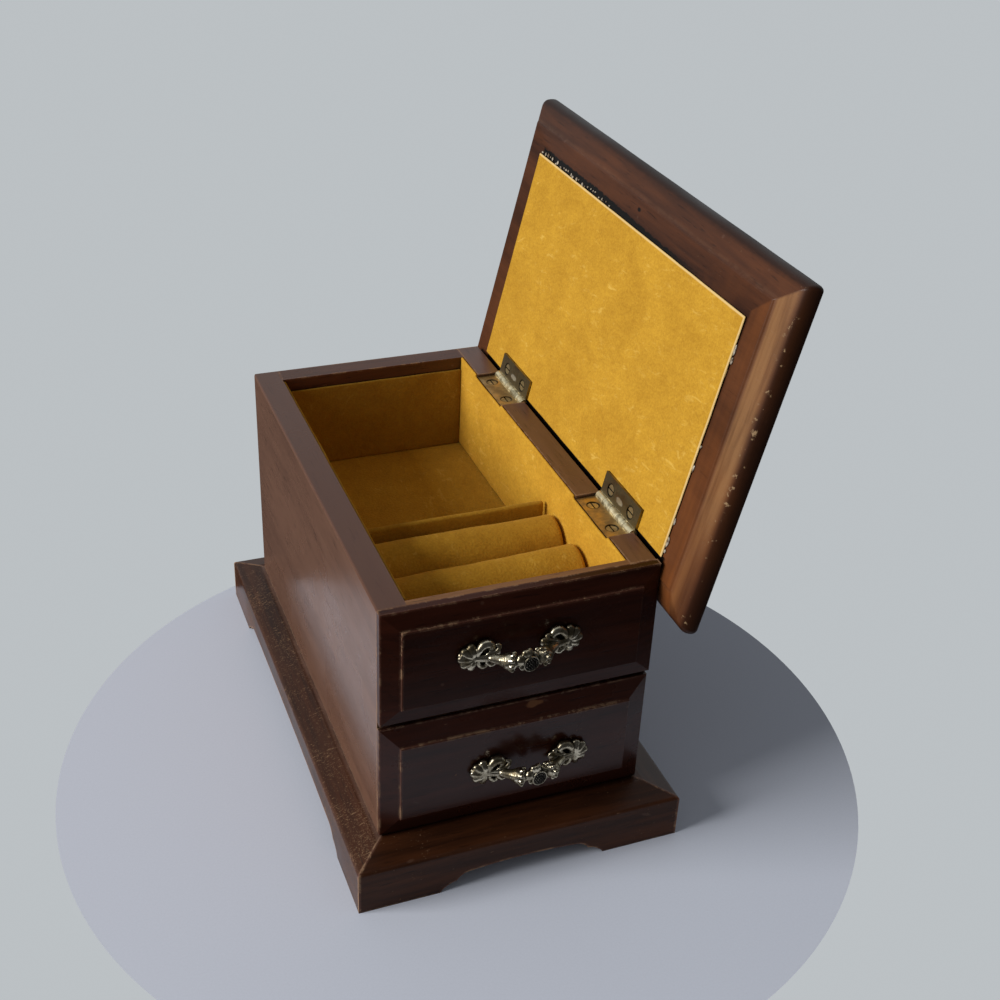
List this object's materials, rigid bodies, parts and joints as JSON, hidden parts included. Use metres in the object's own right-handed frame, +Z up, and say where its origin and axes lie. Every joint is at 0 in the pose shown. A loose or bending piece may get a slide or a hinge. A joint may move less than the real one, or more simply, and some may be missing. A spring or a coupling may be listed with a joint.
{
  "type": "ring box",
  "caption": "Wooden ring box on a bracket plinth: hinged lid, velvet-lined compartment with ring rolls, false upper front, and a drawer below it with a bow pull.",
  "frame": {"origin": "centre of the plinth's footprint, on the floor it stands on", "axes": "-Y is the front with the pulls, +X the hinge side, +Z up; the lid is drawn open on its stop and the drawer shut"},
  "size_m": [0.1412, 0.2031, 0.2124],
  "materials": {
    "mahogany": "satin lacquer",
    "inner_wood": "bare",
    "gold_velvet": "short brushed nap",
    "hinge_brass": "dull",
    "antique_brass": "antiqued",
    "screw_steel": "plain"
  },
  "bodies": {
    "case": {"case_bottom_board": "inner_wood", "case_hinge_screws": "hinge_brass", "compartment_divider": "gold_velvet", "compartment_floor": "inner_wood", "compartment_front_wall": "inner_wood", "floor_lining": "gold_velvet", "front_hinge_case_leaf": "hinge_brass", "front_hinge_pin": "hinge_brass", "left_lining": "gold_velvet", "left_side_board": "mahogany", "plinth_front_rail": "mahogany", "plinth_left_rail": "mahogany", "plinth_rear_rail": "mahogany", "plinth_right_rail": "mahogany", "plinth_screws": "screw_steel", "rear_board": "mahogany", "rear_hinge_case_leaf": "hinge_brass", "rear_hinge_pin": "hinge_brass", "rear_lining": "gold_velvet", "right_lining": "gold_velvet", "right_side_board": "mahogany", "ring_cushion_base": "gold_velvet", "ring_roll_front": "gold_velvet", "ring_roll_middle": "gold_velvet", "ring_roll_rear": "gold_velvet", "upper_false_front": "mahogany", "upper_pull": "antique_brass", "upper_pull_screws": "screw_steel"},
    "lid": {"lid_board": "mahogany", "lid_velvet_panel": "gold_velvet", "front_hinge_lid_leaf": "hinge_brass", "rear_hinge_lid_leaf": "hinge_brass", "lid_hinge_screws": "hinge_brass"},
    "drawer": {"drawer_face": "mahogany", "drawer_inner_front": "inner_wood", "drawer_left_side": "inner_wood", "drawer_right_side": "inner_wood", "drawer_back": "inner_wood", "drawer_bottom": "inner_wood", "drawer_lining": "gold_velvet", "drawer_pull": "antique_brass", "drawer_pull_screws": "screw_steel"}
  },
  "joints": [
    {"name": "lid_hinge", "type": "hinge", "parent": "case", "child": "lid", "pos_m": [0.04733, 0, 0.11055], "axis": [0, 1, 0], "range_deg": [-103.06, 0]},
    {"name": "drawer_slide", "type": "slide", "parent": "case", "child": "drawer", "axis": [0, -1, 0], "range_m": [0, 0.11]}
  ]
}
